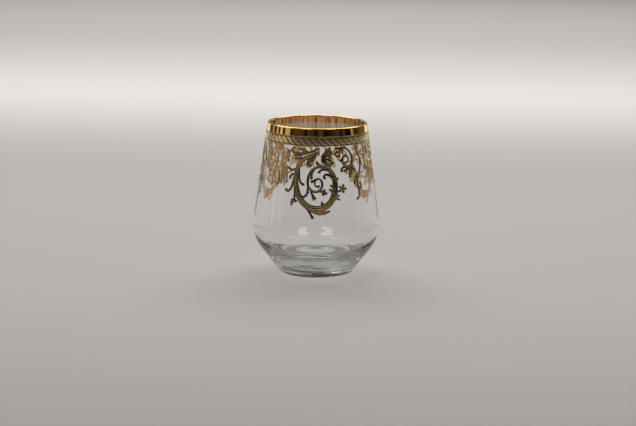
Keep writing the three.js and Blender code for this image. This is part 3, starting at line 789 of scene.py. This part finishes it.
def black_velvet():
    """Matt black cloth whose upright folds are painted light and shade, a noise over the plan of the set
    alone.
    The weave runs from 1, whole cloth, to 0, nothing, over the gauze at both ends."""
    material, tree, output = new_material("black_velvet")
    place = add_node(tree, "ShaderNodeTexCoord")
    folds = add_node(tree, "ShaderNodeMapping", Vector=place.outputs["Object"], Scale=(1, 1, 0))
    painted_fold_shade = add_node(tree, "ShaderNodeTexNoise", Vector=folds.outputs[0], Scale=2.2, Detail=2)
    # Painted light and shade of the folds: darker and lighter upright bands on the flat cloth.
    painted_tone = add_node(tree, "ShaderNodeValToRGB", Fac=painted_fold_shade.outputs[0])
    painted_tone.color_ramp.elements[0].position = 0.44
    painted_tone.color_ramp.elements[0].color = (0.008, 0.007, 0.007, 1)
    painted_tone.color_ramp.elements[1].position = 0.58
    painted_tone.color_ramp.elements[1].color = (0.12, 0.11, 0.1, 1)
    cloth = add_node(tree, "ShaderNodeBsdfDiffuse", Color=painted_tone.outputs[0])
    gauze = add_node(tree, "ShaderNodeBsdfTransparent")
    weave = add_node(tree, "ShaderNodeAttribute", attribute_name="weave")
    hem = add_node(tree, "ShaderNodeMixShader", Fac=weave.outputs["Fac"])
    tree.links.new(gauze.outputs[0], hem.inputs[1])
    tree.links.new(cloth.outputs[0], hem.inputs[2])
    tree.links.new(hem.outputs[0], output.inputs["Surface"])
    return material


curtain_faces = grid_faces(curtain_steps, 2, False, False)
curtain = add_piece("black_curtain", curtain_points, curtain_faces, [black_velvet()])
from_end = np.minimum(curtain_angles - curtain_angles[0], curtain_angles[-1] - curtain_angles)
weave = np.repeat(np.clip(from_end / gauze_width, 0, 1), 2)
curtain.data.attributes.new("weave", "FLOAT", "POINT").data.foreach_set("value", weave)
curtain.visible_camera = False
curtain.visible_diffuse = False
curtain.visible_shadow = False


# The light: a soft box above and behind the glass, two small ones in front that glint in the bowl, one over
# the far floor, and upright strips at the sides that only shine in the gold and the glass. The room has pale
# walls and a dark ceiling.
def soft_box(name, azimuth, elevation, distance, width, height, radiance):
    """An area lamp aimed at the middle of the glass. Azimuth 0 is towards the camera, 90 to the right. Its
    power is pi * area * radiance, so that a radiance of 1 looks as bright as white paper. Angles are in
    degrees and lengths in metres."""
    lamp = bpy.data.lights.new(name, "AREA")
    lamp.shape = "RECTANGLE"
    lamp.size = width
    lamp.size_y = height
    lamp.energy = math.pi * width * height * radiance
    box = bpy.data.objects.new(name, lamp)
    a = math.radians(azimuth)
    e = math.radians(elevation)
    away = np.array([math.sin(a) * math.cos(e), -math.cos(a) * math.cos(e), math.sin(e)])
    box.location = away * distance + np.array([0, 0, glass_height / 2])
    box.rotation_euler = (math.pi / 2 - e, 0, a)
    box.visible_camera = False
    box.visible_transmission = False
    bpy.context.scene.collection.objects.link(box)
    return box


strips = [
    soft_box("left_strip_1", -117, 20, 1.3, 0.09, 1.4, 0.8),
    soft_box("left_strip_2", -101, 20, 1.3, 0.1, 1.4, 0.8),
    soft_box("left_strip_3", -88, 20, 1.3, 0.13, 1.4, 1.0),
    soft_box("left_strip_4", -70, 20, 1.3, 0.3, 1.4, 0.55),
    soft_box("right_strip", 84, 20, 1.3, 0.07, 1.4, 0.8),
    soft_box("left_rear_strip", -142, 8, 1.4, 0.2, 0.5, 1.4),
    soft_box("right_rear_strip", 142, 8, 1.4, 0.2, 0.5, 1.4),
]
for strip in strips:
    strip.visible_diffuse = False
soft_box("top_soft_box", 180, 62, 1.5, 2.4, 0.6, 3.7)
soft_box("front_left_soft_box", -36, 59, 1.6, 0.5, 0.4, 3.6)
soft_box("front_right_soft_box", 43, 59, 1.6, 0.46, 0.4, 3.6)
backdrop_box = soft_box("backdrop_soft_box", 180, 45, 2.2, 3.0, 0.8, 3.6)
backdrop_box.rotation_euler = (0, 0, 0)

world = bpy.data.worlds.new("studio_room")
bpy.context.scene.world = world
world.use_nodes = True
room = world.node_tree
facing = add_node(room, "ShaderNodeTexCoord")
upwards = add_node(room, "ShaderNodeSeparateXYZ", Vector=facing.outputs["Generated"])
wall_tone = add_node(room, "ShaderNodeValToRGB", Fac=upwards.outputs["Z"])
wall_tone.color_ramp.elements[0].position = 0.45
wall_tone.color_ramp.elements[0].color = (0.34, 0.333, 0.325, 1)
wall_tone.color_ramp.elements[1].position = 0.7
wall_tone.color_ramp.elements[1].color = (0.02, 0.02, 0.02, 1)
room.links.new(wall_tone.outputs[0], room.nodes["Background"].inputs["Color"])

# The camera: a long lens on a stand at table distance, a little above the rim, tipped down and a hair off
# level, its lens reckoned for a picture 636 pixels wide. Light may pass both walls and the thick base many
# times over.
frame_width = 636
lens_pixels = 1854.3
side_step = 1.78
camera_distance = 1.25
camera_height = 0.2837
tilt = math.radians(10.997)
roll = math.radians(0.814)
camera_data = bpy.data.cameras.new("camera")
camera_data.lens = camera_data.sensor_width * lens_pixels / frame_width
camera_data.shift_x = side_step / frame_width
camera = bpy.data.objects.new("camera", camera_data)
camera.location = (0, -camera_distance, camera_height)
camera.rotation_mode = "QUATERNION"
tipped_down = Euler((math.pi / 2 - tilt, 0, 0)).to_quaternion()
camera.rotation_quaternion = tipped_down @ Quaternion((0, 0, 1), roll)
bpy.context.scene.collection.objects.link(camera)
bpy.context.scene.camera = camera
bpy.context.scene.view_settings.view_transform = "Standard"
bpy.context.scene.cycles.max_bounces = 24
bpy.context.scene.cycles.transmission_bounces = 20
bpy.context.scene.cycles.transparent_max_bounces = 24
bpy.context.scene.cycles.glossy_bounces = 8
